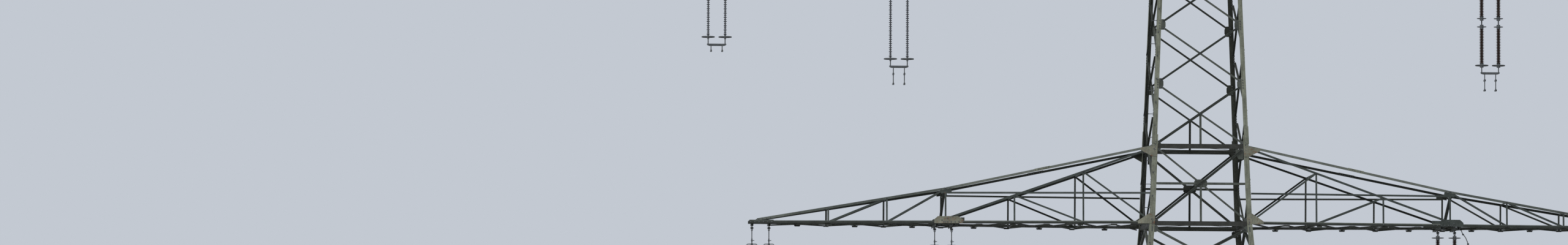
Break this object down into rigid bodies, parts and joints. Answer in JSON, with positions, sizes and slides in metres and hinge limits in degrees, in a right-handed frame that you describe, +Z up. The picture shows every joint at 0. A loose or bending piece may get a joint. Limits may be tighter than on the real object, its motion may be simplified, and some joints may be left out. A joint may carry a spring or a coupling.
{
  "type": "half-scale model of a lattice transmission pylon",
  "caption": "Free-standing lattice steel pylon for four circuits, with tapering crossarms on three levels, swinging insulator strings and an earth wire peak.",
  "frame": {"origin": "on the ground, in the middle between the four footings", "axes": "+Z up the tower, X along the crossarms, Y along the line; the side towards -Y is the one seen in the picture"},
  "size_m": [16.94, 4.26, 24.3983],
  "materials": {
    "lattice_steel": "weathered galvanized steel with an old green-grey coat, dull, dirty and slightly rusty at the joints",
    "bracing_steel": "weathered green-grey coat on thin angles, dull and dark on the underside",
    "concrete": "weathered cast concrete",
    "brown_porcelain": "dark brown glazed porcelain",
    "composite_sheds": "grey silicone rubber",
    "galvanized_fittings": "dull hot-dip galvanized forgings"
  },
  "bodies": {
    "pylon": {"footings": "concrete", "leg_front_left": "lattice_steel", "leg_front_right": "lattice_steel", "leg_back_right": "lattice_steel", "leg_back_left": "lattice_steel", "lower_bracing_front": "bracing_steel", "lower_bracing_right": "bracing_steel", "lower_bracing_back": "bracing_steel", "lower_bracing_left": "bracing_steel", "upper_bracing_front": "bracing_steel", "upper_bracing_right": "bracing_steel", "upper_bracing_back": "bracing_steel", "upper_bracing_left": "bracing_steel", "plan_bracing": "bracing_steel", "earth_wire_peak": "lattice_steel", "lower_arm_left": "lattice_steel", "lower_arm_right": "lattice_steel", "middle_arm_left": "lattice_steel", "middle_arm_right": "lattice_steel", "upper_arm_left": "lattice_steel", "upper_arm_right": "lattice_steel"},
    "lower_left_inner_set": {"lower_left_inner_insulators": "composite_sheds", "lower_left_inner_fittings": "galvanized_fittings"},
    "lower_left_outer_set": {"lower_left_outer_insulators": "composite_sheds", "lower_left_outer_fittings": "galvanized_fittings"},
    "lower_right_inner_set": {"lower_right_inner_insulators": "brown_porcelain", "lower_right_inner_fittings": "galvanized_fittings"},
    "lower_right_outer_set": {"lower_right_outer_insulators": "brown_porcelain", "lower_right_outer_fittings": "galvanized_fittings"},
    "middle_left_inner_set": {"middle_left_inner_insulators": "composite_sheds", "middle_left_inner_fittings": "galvanized_fittings"},
    "middle_left_outer_set": {"middle_left_outer_insulators": "composite_sheds", "middle_left_outer_fittings": "galvanized_fittings"},
    "middle_right_inner_set": {"middle_right_inner_insulators": "brown_porcelain", "middle_right_inner_fittings": "galvanized_fittings"},
    "middle_right_outer_set": {"middle_right_outer_insulators": "brown_porcelain", "middle_right_outer_fittings": "galvanized_fittings"},
    "upper_left_inner_set": {"upper_left_inner_insulators": "composite_sheds", "upper_left_inner_fittings": "galvanized_fittings"},
    "upper_left_outer_set": {"upper_left_outer_insulators": "composite_sheds", "upper_left_outer_fittings": "galvanized_fittings"},
    "upper_right_inner_set": {"upper_right_inner_insulators": "brown_porcelain", "upper_right_inner_fittings": "galvanized_fittings"},
    "upper_right_outer_set": {"upper_right_outer_insulators": "brown_porcelain", "upper_right_outer_fittings": "galvanized_fittings"}
  },
  "joints": [
    {"name": "lower_left_inner_swing", "type": "hinge", "parent": "pylon", "child": "lower_left_inner_set", "pos_m": [-4.325, 0, 10.9], "axis": [1, 0, 0], "range_deg": [-30, 30]},
    {"name": "lower_left_outer_swing", "type": "hinge", "parent": "pylon", "child": "lower_left_outer_set", "pos_m": [-7.45, 0, 10.9], "axis": [1, 0, 0], "range_deg": [-30, 30]},
    {"name": "lower_right_inner_swing", "type": "hinge", "parent": "pylon", "child": "lower_right_inner_set", "pos_m": [4.325, 0, 10.9], "axis": [1, 0, 0], "range_deg": [-30, 30]},
    {"name": "lower_right_outer_swing", "type": "hinge", "parent": "pylon", "child": "lower_right_outer_set", "pos_m": [7.45, 0, 10.9], "axis": [1, 0, 0], "range_deg": [-30, 30]},
    {"name": "middle_left_inner_swing", "type": "hinge", "parent": "pylon", "child": "middle_left_inner_set", "pos_m": [-5.09, 0, 16.15], "axis": [1, 0, 0], "range_deg": [-30, 30]},
    {"name": "middle_left_outer_swing", "type": "hinge", "parent": "pylon", "child": "middle_left_outer_set", "pos_m": [-8.21, 0, 16.15], "axis": [1, 0, 0], "range_deg": [-30, 30]},
    {"name": "middle_right_inner_swing", "type": "hinge", "parent": "pylon", "child": "middle_right_inner_set", "pos_m": [5.09, 0, 16.15], "axis": [1, 0, 0], "range_deg": [-30, 30]},
    {"name": "middle_right_outer_swing", "type": "hinge", "parent": "pylon", "child": "middle_right_outer_set", "pos_m": [8.21, 0, 16.15], "axis": [1, 0, 0], "range_deg": [-30, 30]},
    {"name": "upper_left_inner_swing", "type": "hinge", "parent": "pylon", "child": "upper_left_inner_set", "pos_m": [-3.7, 0, 21.4], "axis": [1, 0, 0], "range_deg": [-30, 30]},
    {"name": "upper_left_outer_swing", "type": "hinge", "parent": "pylon", "child": "upper_left_outer_set", "pos_m": [-6.7, 0, 21.4], "axis": [1, 0, 0], "range_deg": [-30, 30]},
    {"name": "upper_right_inner_swing", "type": "hinge", "parent": "pylon", "child": "upper_right_inner_set", "pos_m": [3.7, 0, 21.4], "axis": [1, 0, 0], "range_deg": [-30, 30]},
    {"name": "upper_right_outer_swing", "type": "hinge", "parent": "pylon", "child": "upper_right_outer_set", "pos_m": [6.7, 0, 21.4], "axis": [1, 0, 0], "range_deg": [-30, 30]}
  ]
}
